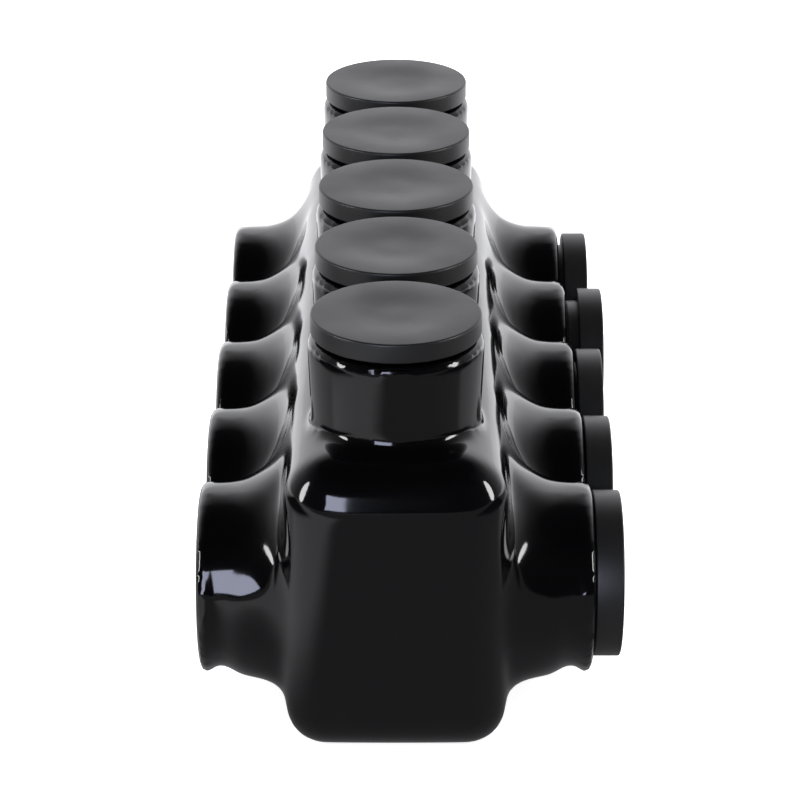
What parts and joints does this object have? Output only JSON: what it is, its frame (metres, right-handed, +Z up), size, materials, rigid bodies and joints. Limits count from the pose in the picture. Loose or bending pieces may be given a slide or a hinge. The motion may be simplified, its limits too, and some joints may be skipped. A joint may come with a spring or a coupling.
{
  "type": "insulated multi-tap connector",
  "caption": "Insulated dual-entry wire connector: a drilled aluminium bar in a black dipped cover, with set screws and push-in plugs in its ports.",
  "frame": {"origin": "centre of the cover's flat underside", "axes": "+Y along the row of ports, away from the viewer of the picture; +X along the wires, out of the plugged side; +Z up, out of the screw ports"},
  "size_m": [0.0692, 0.1598, 0.0667],
  "materials": {
    "black_plastisol": "glossy dipped vinyl, smooth and black",
    "bar_aluminium": "sawn, drilled and plated",
    "screw_aluminium": "turned and plated",
    "plug_rubber": "matt moulded charcoal vinyl rubber"
  },
  "bodies": {
    "connector": {"insulation_cover": "black_plastisol", "terminal_bar": "bar_aluminium"},
    "set_screw_1": {"set_screw_1": "screw_aluminium"},
    "set_screw_2": {"set_screw_2": "screw_aluminium"},
    "set_screw_3": {"set_screw_3": "screw_aluminium"},
    "set_screw_4": {"set_screw_4": "screw_aluminium"},
    "set_screw_5": {"set_screw_5": "screw_aluminium"},
    "screw_port_plug_1": {"screw_port_plug_1": "plug_rubber"},
    "screw_port_plug_2": {"screw_port_plug_2": "plug_rubber"},
    "screw_port_plug_3": {"screw_port_plug_3": "plug_rubber"},
    "screw_port_plug_4": {"screw_port_plug_4": "plug_rubber"},
    "screw_port_plug_5": {"screw_port_plug_5": "plug_rubber"},
    "wire_port_plug_1": {"wire_port_plug_1": "plug_rubber"},
    "wire_port_plug_2": {"wire_port_plug_2": "plug_rubber"},
    "wire_port_plug_3": {"wire_port_plug_3": "plug_rubber"},
    "wire_port_plug_4": {"wire_port_plug_4": "plug_rubber"},
    "wire_port_plug_5": {"wire_port_plug_5": "plug_rubber"}
  },
  "joints": [
    {"name": "set_screw_1_travel", "type": "slide", "parent": "connector", "child": "set_screw_1", "axis": [0, 0, 1], "range_m": [-0.01, 0.003]},
    {"name": "set_screw_2_travel", "type": "slide", "parent": "connector", "child": "set_screw_2", "axis": [0, 0, 1], "range_m": [-0.01, 0.003]},
    {"name": "set_screw_3_travel", "type": "slide", "parent": "connector", "child": "set_screw_3", "axis": [0, 0, 1], "range_m": [-0.01, 0.003]},
    {"name": "set_screw_4_travel", "type": "slide", "parent": "connector", "child": "set_screw_4", "axis": [0, 0, 1], "range_m": [-0.01, 0.003]},
    {"name": "set_screw_5_travel", "type": "slide", "parent": "connector", "child": "set_screw_5", "axis": [0, 0, 1], "range_m": [-0.01, 0.003]},
    {"name": "screw_port_plug_1_pull", "type": "slide", "parent": "connector", "child": "screw_port_plug_1", "axis": [0, 0, 1], "range_m": [0, 0.026]},
    {"name": "screw_port_plug_2_pull", "type": "slide", "parent": "connector", "child": "screw_port_plug_2", "axis": [0, 0, 1], "range_m": [0, 0.026]},
    {"name": "screw_port_plug_3_pull", "type": "slide", "parent": "connector", "child": "screw_port_plug_3", "axis": [0, 0, 1], "range_m": [0, 0.026]},
    {"name": "screw_port_plug_4_pull", "type": "slide", "parent": "connector", "child": "screw_port_plug_4", "axis": [0, 0, 1], "range_m": [0, 0.026]},
    {"name": "screw_port_plug_5_pull", "type": "slide", "parent": "connector", "child": "screw_port_plug_5", "axis": [0, 0, 1], "range_m": [0, 0.026]},
    {"name": "wire_port_plug_1_pull", "type": "slide", "parent": "connector", "child": "wire_port_plug_1", "axis": [1, 0, 0], "range_m": [0, 0.026]},
    {"name": "wire_port_plug_2_pull", "type": "slide", "parent": "connector", "child": "wire_port_plug_2", "axis": [1, 0, 0], "range_m": [-0.0001, 0.026]},
    {"name": "wire_port_plug_3_pull", "type": "slide", "parent": "connector", "child": "wire_port_plug_3", "axis": [1, 0, 0], "range_m": [-0.0004, 0.026]},
    {"name": "wire_port_plug_4_pull", "type": "slide", "parent": "connector", "child": "wire_port_plug_4", "axis": [1, 0, 0], "range_m": [-0.0022, 0.026]},
    {"name": "wire_port_plug_5_pull", "type": "slide", "parent": "connector", "child": "wire_port_plug_5", "axis": [1, 0, 0], "range_m": [-0.0009, 0.026]}
  ]
}
